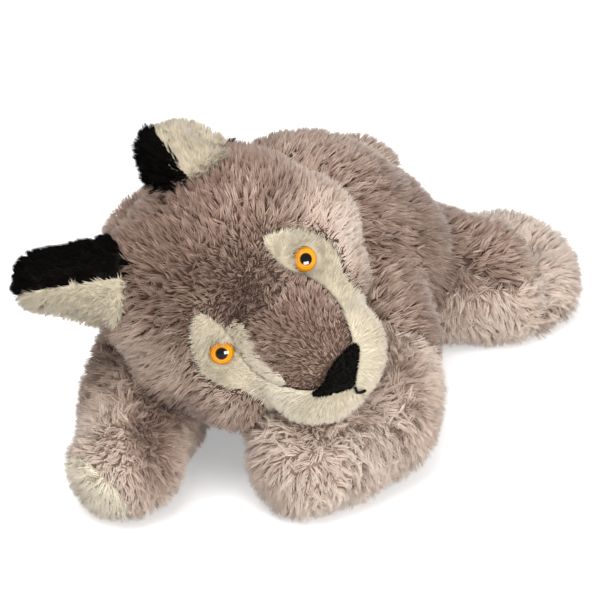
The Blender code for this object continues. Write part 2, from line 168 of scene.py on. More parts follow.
# Node: grain of the skin and how far it lies below the solid's face, in millimetres, and how tightly the
# piece is filled.
SKINS = {
    "head": (3.2, 2.8, 0.8),
    "torso": (4.4, 3.2, 0.7),
    "foreleg_left": (3.2, 4.4, 0.7),
    "foreleg_right": (3.2, 4.4, 0.7),
    "hind_leg_left": (2.6, 3.8, 0.7),
    "hind_leg_right": (2.6, 3.8, 0.7),
    "tail": (3.0, 5.4, 0.6),
    "face_panel_left": (1.7, 0.5, 0.6),
    "face_panel_right": (1.7, 0.5, 0.6),
    "ear_back_left": (1.6, 0.3, 0.4),
    "ear_back_right": (1.6, 0.3, 0.4),
    "ear_lining_left": (1.6, 0.3, 0.4),
    "ear_lining_right": (1.6, 0.3, 0.4),
    "sole_foreleg_left": (1.5, 0.2, 0.5),
    "sole_foreleg_right": (1.5, 0.2, 0.5),
    "sole_hind_leg_left": (1.5, 0.2, 0.5),
    "sole_hind_leg_right": (1.5, 0.2, 0.5),
}
SEAM_REACH = 9.0  # how near a neighbour the cloth starts to rise to the seam
SEAM_KEEP = 0.15  # share of that depth that it keeps at the seam itself
# The backing is darker than the roots partly as painted shade, where it shows in the creases and between the
# tufts.
BACKING_AND_SHADE = 0.55  # colour of the backing against the roots of its pile
STUFFED = ("torso", "foreleg_left", "foreleg_right", "hind_leg_left", "hind_leg_right", "tail")
PRESSURE = 4.0  # of the filling on the cloth
FILL_STEPS = 20
FILL_CAP = 2.2  # no point of the cloth moves further
CLOTH_QUALITY = 4
CLOTH_MASS = 0.2
FLOOR_HOLD = 2.0  # the floor holds cloth that is lower
FLOOR_GAP = 0.4  # between the cloth and the floor


def pick(piece):
    """Makes the piece the only selected and active object."""
    bpy.ops.object.select_all(action="DESELECT")
    piece.select_set(True)
    bpy.context.view_layer.objects.active = piece


def apply_modifier(piece, kind, **values):
    """Adds a modifier with these values and applies it at once."""
    modifier = piece.modifiers.new(kind.lower(), kind)
    for name, value in values.items():
        setattr(modifier, name, value)
    pick(piece)
    bpy.ops.object.modifier_apply(modifier=modifier.name)


def copy_of_solid(node, name):
    """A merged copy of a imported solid, as a new object at the origin."""
    mesh = bpy.data.meshes.new(name)
    merged = bmesh.new()
    merged.from_mesh(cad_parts[node].data)
    bmesh.ops.remove_doubles(merged, verts=merged.verts, dist=2e-6)
    merged.to_mesh(mesh)
    merged.free()
    piece = bpy.data.objects.new(name, mesh)
    bpy.context.scene.collection.objects.link(piece)
    return piece


def tree_of(nodes):
    """The solids of these nodes as one search tree, in millimetres."""
    points, faces, start = [], [], 0
    for node in nodes:
        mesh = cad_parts[node].data
        mesh.calc_loop_triangles()
        points += [vertex.co / MM for vertex in mesh.vertices]
        faces += [[start + index for index in face.vertices] for face in mesh.loop_triangles]
        start = len(points)
    return BVHTree.FromPolygons(points, faces)


def tree_without(*nodes):
    """All the other pieces' solids, apart from the washers inside the head."""
    left_out = (*nodes, "eye_washer_left", "eye_washer_right")
    return tree_of([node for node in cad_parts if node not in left_out])


def smooth_skin(piece, grain, draw_in, rounds=6, others=None):
    """Rounds the solid's facets off and draws the skin in, to where the cloth lies under the pile."""
    apply_modifier(piece, "REMESH", mode="VOXEL", voxel_size=grain * MM, use_smooth_shade=True)
    apply_modifier(piece, "SMOOTH", factor=0.5, iterations=rounds)
    if draw_in:
        slack = piece.vertex_groups.new(name="slack")
        for vertex in piece.data.vertices:
            share = 1.0
            if others is not None:
                place, _, _, far = others.find_nearest(vertex.co / MM, SEAM_REACH)
                if place is not None:
                    share = max(SEAM_KEEP, far / SEAM_REACH)
            slack.add((vertex.index,), share, "REPLACE")
        strength = -draw_in * MM
        apply_modifier(piece, "DISPLACE", strength=strength, mid_level=0.0, vertex_group=slack.name)
        piece.vertex_groups.clear()
    for vertex in piece.data.vertices:
        vertex.co.z = max(vertex.co.z, FLOOR_GAP * MM)


def fill(piece, others):
    """Lets the fibre filling press the cloth out between its seams."""
    seam = piece.vertex_groups.new(name="seam")
    for vertex in piece.data.vertices:
        place, _, _, far = others.find_nearest(vertex.co / MM, SEAM_REACH)
        if place is not None or vertex.co.z < FLOOR_HOLD * MM:
            seam.add((vertex.index,), 1.0, "REPLACE")
    start = [vertex.co.copy() for vertex in piece.data.vertices]
    cloth = piece.modifiers.new("filling", "CLOTH")
    cloth.settings.quality = CLOTH_QUALITY
    cloth.settings.mass = CLOTH_MASS
    cloth.settings.vertex_group_mass = seam.name
    cloth.settings.use_pressure = True
    cloth.settings.uniform_pressure_force = PRESSURE
    cloth.settings.effector_weights.gravity = 0.0
    scene = bpy.context.scene
    for step in range(1, FILL_STEPS + 1):
        scene.frame_set(step)
    graph = bpy.context.evaluated_depsgraph_get()
    pressed = piece.evaluated_get(graph).to_mesh()
    moved = [vertex.co.copy() for vertex in pressed.vertices]
    piece.evaluated_get(graph).to_mesh_clear()
    piece.modifiers.remove(cloth)
    piece.vertex_groups.clear()
    scene.frame_set(1)
    cap = FILL_CAP * MM
    for vertex, here, there in zip(piece.data.vertices, start, moved):
        move = there - here
        if move.length > cap:
            move *= cap / move.length
        vertex.co = here + move
        vertex.co.z = max(vertex.co.z, FLOOR_GAP * MM)


def arrays_of(piece):
    """Points and normals in millimetres, and the triangles, of a piece."""
    mesh = piece.data
    mesh.calc_loop_triangles()
    points = np.empty(len(mesh.vertices) * 3, np.float32)
    normals = np.empty(len(mesh.vertices) * 3, np.float32)
    faces = np.empty(len(mesh.loop_triangles) * 3, np.int32)
    mesh.vertices.foreach_get("co", points)
    mesh.vertices.foreach_get("normal", normals)
    mesh.loop_triangles.foreach_get("vertices", faces)
    points = points.reshape(-1, 3).astype(float) / MM
    normals = normals.reshape(-1, 3).astype(float)
    return points, normals, faces.reshape(-1, 3)


def unit(vectors):
    return vectors / np.maximum(np.linalg.norm(vectors, axis=1), 1e-9)[:, None]


def along(vectors, normals):
    """The part of each vector that lies in the skin."""
    return vectors - (vectors * normals).sum(1)[:, None] * normals


def waves(points, rng, size, count=6):
    """A smooth random value from -1 to 1 at each point, with bumps about this many millimetres across."""
    total = np.zeros(len(points))
    for _ in range(count):
        way = rng.normal(size=3)
        way *= 2 * math.pi / (size * rng.uniform(1.4, 3.0)) / np.linalg.norm(way)
        total += np.sin(points @ way + rng.uniform(0, 2 * math.pi))
    return total / math.sqrt(count / 2) / 2


def comb_head(points, normals):
    """The head's pile lies away from the nose."""
    return unit(points - NOSE_AT)


def comb_way(*way):
    """Pile that lies the same way all over a piece."""

    def comb(points, normals):
        return np.tile(np.array(way, float) / np.linalg.norm(way), (len(points), 1))

    return comb


def comb_torso(points, normals):
    """The body's pile lies towards the rump on top and hangs down on the sides."""
    back = np.array((0.78, 0.42, -0.1))
    down = np.array((0.0, 0.0, -1.0))
    share = np.clip(1.0 - normals[:, 2], 0.0, 1.0)[:, None]
    return unit(back * (1.15 - share) + down * share)


STEER_REACH = 6.0  # how far beyond an eye's rim its pile is turned
STEER_DEPTH = 14.0  # and how far before and behind its place
STEER_SHARE = 0.9
STEER_TURN = 1.3
LAP_ARC = 0.5  # cosine of half the arc on which the pile laps over the rim


def steer_clear(points, comb):
    """Turns the pile near an eye away from it, apart from the side where it laps over the rim."""
    for at, look, lap in EYES.values():
        at = np.array(at)
        look = np.array(look)
        lap = np.array(lap) - (np.array(lap) @ look) * look
        off = points - at
        flat = off - (off @ look)[:, None] * look
        far = np.linalg.norm(flat, axis=1)
        near = STEER_SHARE * np.clip(1.0 - (far - EYE_R) / STEER_REACH, 0.0, 1.0)
        near *= np.abs(off @ look) < STEER_DEPTH
        side = unit(flat)
        laps = side @ (lap / np.linalg.norm(lap)) > LAP_ARC
        turn = np.where(laps, -STEER_TURN, STEER_TURN) * near
        comb = unit(comb * (1 - near)[:, None] + side * turn[:, None])
    return comb


def same_length(roots):
    return 1.0


CLIPPED = 0.38  # length of the pile at the nose against its full length
CLIPPED_TO = 18.0  # how far from the nose it stays as short
CLIPPED_OVER = 60.0  # over what distance it then grows to its full length
CHEEK_MORE = 0.3  # how much longer it is on the cheek
CHEEK_WIDE = 26.0


def short_on_muzzle(roots):
    """The pile is clipped short round the nose, grows behind the eyes and is longest on the cheek."""
    far = np.linalg.norm(roots - NOSE_AT, axis=1)
    more = CHEEK_MORE * np.exp(-((np.linalg.norm(roots - CHEEK_AT, axis=1) / CHEEK_WIDE) ** 2))
    return CLIPPED + (1 - CLIPPED) * np.clip((far - CLIPPED_TO) / CLIPPED_OVER, 0, 1) + more


class Tuft:
    """The look of one kind of pile. Lengths are in millimetres and the lean from upright in radians. Each
    clump takes one hair in so many, strays from the comb by itself and wanders with its neighbours."""

    def __init__(
        self, long, wide, lean, count, clump=None, wander=0.3, every=10, stretch=same_length, stray=0.35
    ):
        self.long = long
        self.wide = wide
        self.lean = lean
        self.count = count
        self.clump = clump
        self.wander = wander
        self.every = every
        self.stretch = stretch
        self.stray = stray


def scatter(points, normals, faces, count, rng, weight):
    """Roots spread evenly over the skin's triangles, in proportion to area and weight."""
    corners = points[faces]
    area = np.linalg.norm(np.cross(corners[:, 1] - corners[:, 0], corners[:, 2] - corners[:, 0]), axis=1) / 2
    middle = corners.mean(1)
    facing = unit(normals[faces].mean(1))
    load = np.cumsum(area * weight(middle, facing))
    mark = (np.arange(count) + rng.uniform(0, 1, count)) / count * load[-1]
    chosen = np.minimum(np.searchsorted(load, mark), len(faces) - 1)
    a = np.sqrt(rng.uniform(0, 1, count))
    b = rng.uniform(0, 1, count)
    shares = np.stack((1 - a, a * (1 - b), a * b), 1)
    roots = (corners[chosen] * shares[:, :, None]).sum(1)
    ways = unit((normals[faces][chosen] * shares[:, :, None]).sum(1))
    return roots, ways


ROOT_MARGIN = 0.8  # how near another piece a root may stand
ROOT_UNDER = 0.75  # cosine from which a root counts as under another piece
ROOT_SEARCH = 6.0


def clear_of(roots, others):
    """Which roots aren't under or inside another piece."""
    keep = np.ones(len(roots), bool)
    for index, root in enumerate(roots):
        place, facing, _, far = others.find_nearest(Vector(root), ROOT_MARGIN + ROOT_SEARCH)
        if place is None:
            continue
        off = Vector(root) - place
        if off.dot(facing) < -ROOT_UNDER * far or far < ROOT_MARGIN:
            keep[index] = False
    return keep


def nearest_clump(roots, centres):
    """The number of the clump whose middle is nearest to each root."""
    tree = KDTree(len(centres))
    for index, centre in enumerate(centres):
        tree.insert(Vector(centre), index)
    tree.balance()
    return np.array([tree.find(Vector(root))[1] for root in roots])


TRIM_REACH = 7.0  # how far from another cloth the pile is trimmed
TRIM_SHORT = 0.45  # share of its length that it keeps there, on the head
TRIM_LONG = 0.85  # and elsewhere


def trimmed(roots, edge, least):
    """The pile is trimmed beside these solids, so that their outline shows."""
    share = np.ones(len(roots))
    for index, root in enumerate(roots):
        place, _, _, far = edge.find_nearest(Vector(root), TRIM_REACH)
        if place is not None:
            share[index] = least + (1 - least) * far / TRIM_REACH
    return share


# How the hairs of one pile differ, as shares or in millimetres.
SWAY_SIZE = 16.0  # of the waves in which the pile lies
CLUMP_SPREAD = 0.10  # of lean and length from clump to clump
LEAN_SPREAD = 0.07
LEAN_RANGE = (0.05, 1.45)
LEAN_FLAT = 1.5  # where the wolf lies on its pile
LONG_SPREAD = 0.08
PULL_RANGE = (0.6, 1.2)
PULL_SHARE = 0.85  # how much of the way to the middle of its clump a tip can go
TIP_SPREAD = 0.25
WIDE_RANGE = (0.75, 1.2)
CLUMP_TONE = 0.075
HAIR_TONE = 0.07
CLOUD_TONE = 0.08
CLOUD_SIZE = 22.0
TONE_RANGE = (0.03, 0.97)
BELLY_LOW = 6.0  # pile lower than this can lie on the floor
BELLY_DOWN, BELLY_SOON = 0.75, 6.0  # how far down a root faces before its hair lies flat, and how soon
TIP_LOW, ROOT_LOW, HAIR_LOW = 0.25, 0.2, 0.1  # nothing of a hair is lower
SOFT_FOOT, SOFT_TIP, SOFT_OWN = 0.75, 0.8, 0.35  # shares of the skin's and of the hair's own normal

# The corners of a hair in its map, across its tone and up from its root to its tip.
MAP_ACROSS = np.array((-0.006, 0.006, 0.0, 0.0))
MAP_UPWARD = 0.01 + 0.98 * np.array((0.0, 0.0, 0.04, 1.0))


def spikes(start, tips, ways, wide, rng):
    """The corners of each hair, three at its root and one at its tip, and their soft normals."""
    total = len(start)
    axis = unit(tips - start)
    side = unit(np.cross(axis, ways) + 1e-6)
    up = np.cross(axis, side)
    spin = rng.uniform(0, 2 * math.pi, total)
    half = wide * rng.uniform(*WIDE_RANGE, total) / 2
    verts = np.empty((total, 4, 3))
    soft = np.empty((total, 4, 3))
    for corner in range(3):
        turn = spin + corner * 2 * math.pi / 3
        out = np.cos(turn)[:, None] * side + np.sin(turn)[:, None] * up
        verts[:, corner] = start + out * half[:, None]
        soft[:, corner] = unit(SOFT_FOOT * ways + SOFT_OWN * out)
    verts[:, 3] = tips
    soft[:, 3] = unit(SOFT_TIP * ways + SOFT_OWN * axis)
    verts[:, :, 2] = np.maximum(verts[:, :, 2], HAIR_LOW)
    return verts, soft


def pile_object(name, verts, soft, shade):
    """One object of all the hairs, with the map of each one's tone and its run from root to tip."""
    total = len(verts)
    base = np.arange(total)[:, None, None] * 4
    triangles = np.array(((0, 1, 3), (1, 2, 3), (2, 0, 3), (0, 2, 1)))
    triangles = (base + triangles[None]).reshape(-1, 3)
    mesh = bpy.data.meshes.new(name)
    mesh.vertices.add(total * 4)
    mesh.vertices.foreach_set("co", (verts.reshape(-1) * MM).astype(np.float32))
    mesh.loops.add(len(triangles) * 3)
    mesh.loops.foreach_set("vertex_index", triangles.reshape(-1).astype(np.int32))
    mesh.polygons.add(len(triangles))
    mesh.polygons.foreach_set("loop_start", np.arange(0, len(triangles) * 3, 3, dtype=np.int32))
    mesh.polygons.foreach_set("loop_total", np.full(len(triangles), 3, np.int32))
    mesh.update(calc_edges=True)
    mesh.shade_smooth()
    map_u = shade[:, None] + MAP_ACROSS[None]
    map_v = np.tile(MAP_UPWARD, (total, 1))
    corners = triangles.reshape(-1)
    uv = np.stack((map_u.reshape(-1)[corners], map_v.reshape(-1)[corners]), 1)
    layer = mesh.uv_layers.new(name=PILE_MAP)
    layer.data.foreach_set("uv", uv.reshape(-1).astype(np.float32))
    mesh.normals_split_custom_set_from_vertices(soft.reshape(-1, 3).astype(np.float32))
    piece = bpy.data.objects.new(name, mesh)
    bpy.context.scene.collection.objects.link(piece)
    return piece


def grow(name, skin, tuft, count, comb, tone, seed, weight, others=None, edge=None, least=TRIM_SHORT):
    """Grows a pile on a skin: slim closed spikes, combed, clumped and bent into their neighbours."""
    rng = np.random.default_rng(seed)
    points, normals, faces = skin
    roots, ways = scatter(points, normals, faces, count, rng, weight)
    if others is not None:
        keep = clear_of(roots, others)
        roots, ways = roots[keep], ways[keep]
    total = len(roots)
    lie = comb(roots, ways)
    sway = np.stack([waves(roots, rng, SWAY_SIZE) for _ in range(3)], 1)
    centres = np.sort(rng.choice(total, max(1, total // tuft.every), replace=False))
    group = nearest_clump(roots, roots[centres])
    hub = centres[group]
    stray = rng.normal(0, 1, (len(centres), 3))[group]
    lie = along(unit(lie + tuft.wander * sway + tuft.stray * stray), ways)
    lie = steer_clear(roots, unit(lie))
    lie = unit(along(lie, ways) + 1e-6)
    clump_rise = rng.normal(0, 1, len(centres))[group]
    clump_tone = rng.normal(0, 1, len(centres))[group]
    below = np.clip((-ways[:, 2] - BELLY_DOWN) * BELLY_SOON, 0, 1) * (roots[:, 2] < BELLY_LOW)
    lean = tuft.lean + CLUMP_SPREAD * clump_rise + rng.normal(0, LEAN_SPREAD, total)
    lean = np.clip(lean, *LEAN_RANGE) * (1 - below) + LEAN_FLAT * below
    share = 1 + CLUMP_SPREAD * clump_rise + rng.normal(0, LONG_SPREAD, total)
    size = tuft.long * share * tuft.stretch(roots)
    if edge is not None:
        size *= trimmed(roots, edge, least)
    reach = unit(np.cos(lean)[:, None] * ways + np.sin(lean)[:, None] * lie)
    tips = roots + reach * size[:, None]
    pull = settings().clump if tuft.clump is None else tuft.clump
    pull = pull * rng.uniform(*PULL_RANGE, total)[:, None]
    hub_tip = roots[hub] * PULL_SHARE + roots * (1 - PULL_SHARE) + (tips[hub] - roots[hub])
    tips = tips * (1 - pull) + hub_tip * pull
    tips += rng.normal(0, TIP_SPREAD, tips.shape)
    tips[:, 2] = np.maximum(tips[:, 2], TIP_LOW)
    start = roots - ways * (settings().root_depth / MM)
    start[:, 2] = np.maximum(start[:, 2], ROOT_LOW)
    verts, soft = spikes(start, tips, ways, tuft.wide, rng)
    shade = tone(roots, ways) + CLUMP_TONE * clump_tone + rng.normal(0, HAIR_TONE, total)
    shade = np.clip(shade + CLOUD_TONE * waves(roots, rng, CLOUD_SIZE), *TONE_RANGE)
    return pile_object(name, verts, soft, shade)


def fresh_material(name):
    made = bpy.data.materials.new(name)
    made.use_nodes = True
    tree = made.node_tree
    return made, tree, tree.nodes["Principled BSDF"]


def set_inputs(node, **values):
    """Sets a node's own sockets. A name's spaces are written as _ here."""
    for name, value in values.items():
        node.inputs[name.replace("_", " ")].default_value = value


def tone_ramp(tree, source, stops):
    """A colour ramp with the given stops of place and colour."""
    node = tree.nodes.new("ShaderNodeValToRGB")
    ramp = node.color_ramp
    ramp.elements[0].position = stops[0][0]
    ramp.elements[0].color = (*stops[0][1], 1)
    ramp.elements[1].position = stops[-1][0]
    ramp.elements[1].color = (*stops[-1][1], 1)
    for place, colour in stops[1:-1]:
        ramp.elements.new(place).color = (*colour, 1)
    tree.links.new(source, node.inputs["Fac"])
    return node.outputs["Color"]


SHEEN_ROUGH = 0.4
SHEEN_TINT = (1.0, 0.92, 0.86, 1)
ROOT_END, TIP_START = 0.05, 0.8  # where the root's colour ends and the tip's begins along a hair


def pile_material(name, roots, tips, rough=0.85, sheen=0.45, shine=0.1):
    """Pile: the map's first value picks the tone of a hair, the second runs from its root to its tip."""
    made, tree, shader = fresh_material(name)
    place = tree.nodes.new("ShaderNodeUVMap")
    place.uv_map = PILE_MAP
    split = tree.nodes.new("ShaderNodeSeparateXYZ")
    tree.links.new(place.outputs["UV"], split.inputs["Vector"])
    low = tone_ramp(tree, split.outputs["X"], roots)
    high = tone_ramp(tree, split.outputs["X"], tips)
    rise = tone_ramp(tree, split.outputs["Y"], ((ROOT_END, (0, 0, 0)), (TIP_START, (1, 1, 1))))
    mix = tree.nodes.new("ShaderNodeMix")
    mix.data_type = "RGBA"
    tree.links.new(rise, mix.inputs["Factor"])
    tree.links.new(low, mix.inputs["A"])
    tree.links.new(high, mix.inputs["B"])
    tree.links.new(mix.outputs["Result"], shader.inputs["Base Color"])
    set_inputs(shader, Roughness=rough, Specular_IOR_Level=shine)
    set_inputs(shader, Sheen_Weight=sheen, Sheen_Roughness=SHEEN_ROUGH, Sheen_Tint=SHEEN_TINT)
    return made


KNIT_SCALE = 900.0
KNIT_HEIGHT = 0.0004
MOTTLE_SCALE = 60.0
MOTTLE_DARK = 0.75


def cloth_material(name, body):
    """The knitted backing under the pile: fine ribs and a mottled dye."""
    made, tree, shader = fresh_material(name)
    place = tree.nodes.new("ShaderNodeTexCoord")
    knit = tree.nodes.new("ShaderNodeTexVoronoi")
    set_inputs(knit, Scale=KNIT_SCALE)
    tree.links.new(place.outputs["Object"], knit.inputs["Vector"])
    mottle = tree.nodes.new("ShaderNodeTexNoise")
    set_inputs(mottle, Scale=MOTTLE_SCALE, Detail=5.0)
    tree.links.new(place.outputs["Object"], mottle.inputs["Vector"])
    dark = [MOTTLE_DARK * c for c in body]
    colour = tone_ramp(tree, mottle.outputs["Fac"], ((0.3, dark), (0.7, body)))
    tree.links.new(colour, shader.inputs["Base Color"])
    bump = tree.nodes.new("ShaderNodeBump")
    set_inputs(bump, Strength=0.4, Distance=KNIT_HEIGHT)
    tree.links.new(knit.outputs["Distance"], bump.inputs["Height"])
    tree.links.new(bump.outputs["Normal"], shader.inputs["Normal"])
    set_inputs(shader, Roughness=0.95, Specular_IOR_Level=0.1)
    return made


# The first words of the pieces in each colour of cloth. The others are beige.
TAUPE_CLOTH = ("head", "torso")
CREAM_CLOTH = ("face_panel", "ear_lining", "sole")
BLACK_CLOTH = ("ear_back",)

# The solids beside which a piece's pile is trimmed.
BESIDE = {
    "head": ("face_panel_left", "face_panel_right", "nose"),
    "foreleg_left": ("sole_foreleg_left",),
    "foreleg_right": ("sole_foreleg_right",),
    "hind_leg_left": ("sole_hind_leg_left",),
    "hind_leg_right": ("sole_hind_leg_right",),
}

# Each node's skin as arrays: sewing the cloth fills it in, growing the pile uses it.
skins = {}


class PLUSHWOLF_OT_sew_cloth(Operator):
    """Sew a rounded cloth skin in the place of each stuffed solid"""

    bl_idname = "plush_wolf.sew_cloth"
    bl_label = "Sew the cloth skins"

    def execute(self, context):
        dye = colours()
        # The taupe and beige backing is darkened partly as painted shade, for where it shows in the creases.
        taupe = cloth_material("taupe knit backing", [BACKING_AND_SHADE * c for c in dye.taupe_deep])
        beige = cloth_material("beige knit backing", [BACKING_AND_SHADE * c for c in dye.beige_deep])
        cream = cloth_material("cream knit backing", dye.cream_deep)
        black = cloth_material("black knit backing", dye.black)
        for node, (grain, draw_in, tight) in SKINS.items():
            skin = copy_of_solid(node, "cloth_" + node)
            neighbours = tree_without(node)
            smooth_skin(skin, grain, draw_in, others=neighbours)
            if node in STUFFED:
                fill(skin, neighbours)
            cloth = beige
            for first_words, other in ((TAUPE_CLOTH, taupe), (CREAM_CLOTH, cream), (BLACK_CLOTH, black)):
                if node.startswith(first_words):
                    cloth = other
            skin.data.materials.append(cloth)
            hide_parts(node)
            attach(skin, BODY)
            skins[node] = arrays_of(skin)
        return {"FINISHED"}


BELLY_HAIRS = 0.3  # share of the hairs where the wolf lies on its cloth
FAR_HAIRS = 0.75  # and on the side that faces away from the picture
TO_CAMERA = np.array((0.0, -0.88, 0.47))


def even(points, facing):
    """Hairs all over, but fewer on the far side and few where the wolf lies on its cloth."""
    flat = (facing[:, 2] < -0.8) & (points[:, 2] < 3)
    seen = FAR_HAIRS + (1 - FAR_HAIRS) * np.clip(1.5 * (facing @ TO_CAMERA) + 0.6, 0, 1)
    return np.where(flat, BELLY_HAIRS, seen)


def plain_tone(points, ways):
    return np.full(len(points), 0.5)


# Lines along which one colour of pile runs on over the next cloth, and how far to each side.
MUZZLE_LINE = (
    (-38, -130, 95), (-36, -130, 90), (-33, -131, 85), (-32, -134, 80),
    (-28, -139, 78), (-23, -145, 77), (-18, -150, 76),
)
MUZZLE_REACH = 5.0
EAR_LINE = ((-81, -77, 171), (-77, -84, 168), (-73, -90, 165), (-68, -95, 161), (-65, -97, 158))
EAR_REACH = 4.6
EAR_SEAM_AT = (-40, -66, 162)
EAR_SEAM_REACH = 5.0


def along_line(line, reach):
    """Hairs only within reach of a line."""
    line = np.array(line, float)

    def weight(points, facing):
        near = np.full(len(points), reach + 1)
        for start, end in zip(line, line[1:]):
            way = end - start
            share = np.clip((points - start) @ way / (way @ way), 0, 1)
            near = np.minimum(near, np.linalg.norm(points - start - share[:, None] * way, axis=1))
        return 1.0 * (near < reach)

    return weight


def off_line(line, reach):
    """Hairs everywhere but within reach of a line."""
    inside = along_line(line, reach)

    def weight(points, facing):
        return even(points, facing) * (1 - inside(points, facing))

    return weight


def by_ear_seam(points, facing):
    """Hairs only at the seam where the left ear is folded."""
    return 1.0 * (np.linalg.norm(points - np.array(EAR_SEAM_AT), axis=1) < EAR_SEAM_REACH)


# Places on the tone ramp of the taupe and beige pile, which runs from umber, the painted shade of the folds and
# creases, at 0 to pale at 1.
BROWN = 0.07
TAUPE = 0.38
BEIGE = 0.72
PAW_SHARE = 0.35  # how much of the way up a leg keeps the paw's tone


def tone_with(base, *spots):
    """A base tone with softly edged spots of x, y, z, radius and change."""

    def tone(points, ways):
        total = np.full(len(points), float(base))
        for x, y, z, radius, change in spots:
            far = np.linalg.norm(points - np.array((x, y, z)), axis=1)
            total += change * np.exp(-((far / radius) ** 2))
        return total

    return tone


def tone_from_paw(paw, at_paw, at_body, reach, *spots):
    """Beige at the paw that runs into the body's taupe, with spots."""
    spotted = tone_with(0.0, *spots)

    def tone(points, ways):
        far = np.linalg.norm(points - np.array(paw), axis=1)
        share = np.clip((far - PAW_SHARE * reach) / ((1 - PAW_SHARE) * reach), 0, 1)
        return at_paw + (at_body - at_paw) * share + spotted(points, ways)

    return tone


# The tone of each pile, by its own name or by its node. Some spots are painted light and painted shade, as
# marked.
TONES = {
    "head": tone_with(
        TAUPE - 0.04,
        (-72, -120, 136, 42, -0.17),
        (-36, -111, 152, 26, 0.12),
        (-39, -131, 116, 16, -0.13),
        # Painted light: a pale band beside the left eye, where light rims the side of the head.
        (16, -92, 128, 24, 0.60),
        # Painted light: the cheek below the right eye is lifted where it turns away into shade.
        (-82, -125, 77, 26, 0.34),
        (-42, -138, 58, 20, 0.24),
        (-49, -135, 111, 8, 0.22),
    ),
    "torso": tone_with(
        TAUPE - 0.15,
        # Painted light: the shoulder behind the head is lighter where light falls from above.
        (2, 3, 124, 34, 0.31),
        (51, -6, 78, 22, 0.12),
        # Painted shade: the crease where the left hind leg meets the body.
        (58, 0, 73, 9, -0.20),
        (37, -59, 68, 22, 0.25),
        (38, 104, 77, 30, 0.34),
        (115, 44, 36, 16, 0.32),
        (90, 39, 57, 26, 0.20),
    ),
    # Painted shade: the spot on the left foreleg darkens the crease at the elbow, behind the muzzle.
    "foreleg_left": tone_from_paw((-7.0, -131.0, 25.0), 0.83, 0.72, 95.0, (41, -98, 58, 12, -0.30)),
    "foreleg_right": tone_from_paw(
        (-91.0, -134.0, 26.0), 0.80, 0.48, 60.0,
        # Painted shadow: the first three spots darken the fold under the cheek, at the top of the paw.
        (-74, -122, 50, 14, -0.85), (-80, -142, 50, 9, -0.55), (-81, -152, 45, 7, -0.40),
        (-104, -158, 30, 14, 0.18), (-72, -154, 33, 15, -0.45),
    ),
    "hind_leg_left": tone_from_paw(
        (101.0, 34.0, 18.0), 0.88, 0.67, 50.0,
        # Painted shade: these spots darken the crease where the leg meets the haunch.
        (71, 23, 49, 9, -0.30), (80, 22, 44, 8, -0.20), (90, 22, 40, 8, -0.20),
    ),
    "hind_leg_right": tone_from_paw((-2.0, 143.0, 19.0), 0.74, 0.50, 60.0),
    "tail": tone_with(0.84),
    "face_panel_left": tone_with(0.5, (-6, -107, 121, 24, -0.32)),
    # Painted light: the face panel's second spot and the muzzle edge's spot lift the cream under the muzzle
    # that faces down into shade.
    "face_panel_right": tone_with(0.5, (-46, -134, 73, 8, -0.3), (-22, -148, 72, 18, 0.45)),
    "muzzle_edge": tone_with(0.5, (-22, -148, 78, 18, 0.45)),
    "ear_seam_left": plain_tone,
    "ear_edge_left": plain_tone,
    # Painted shadow: the spot darkens the lower right base of the ear lining.
    "ear_lining_left": tone_with(0.27, (-48, -90, 163, 9, -0.3)),
    "ear_lining_right": tone_with(0.42),
    "sole_foreleg_left": tone_with(0.95),
    # The right fore sole is set to the lightest cream, partly its own colour and partly painted light where it
    # faces down into shade.
    "sole_foreleg_right": tone_with(1.0),
    "sole_hind_leg_left": tone_with(0.95),
    "sole_hind_leg_right": tone_with(0.95),
}


LEG_SHARE = {"foreleg_right": 0.85, "hind_leg_left": 0.35, "hind_leg_right": 0.46}  # of a leg's hairs
BODY_SPLIT = 22.0  # where the body's fore part ends, along its length


def black_tones():
    """The stops of the black pile, at its roots and at its tips."""
    dye = colours()
    deep = (0.0, dye.black_deep)
    return (deep, (1.0, dye.black)), (deep, (0.5, dye.black), (1.0, dye.black_light))


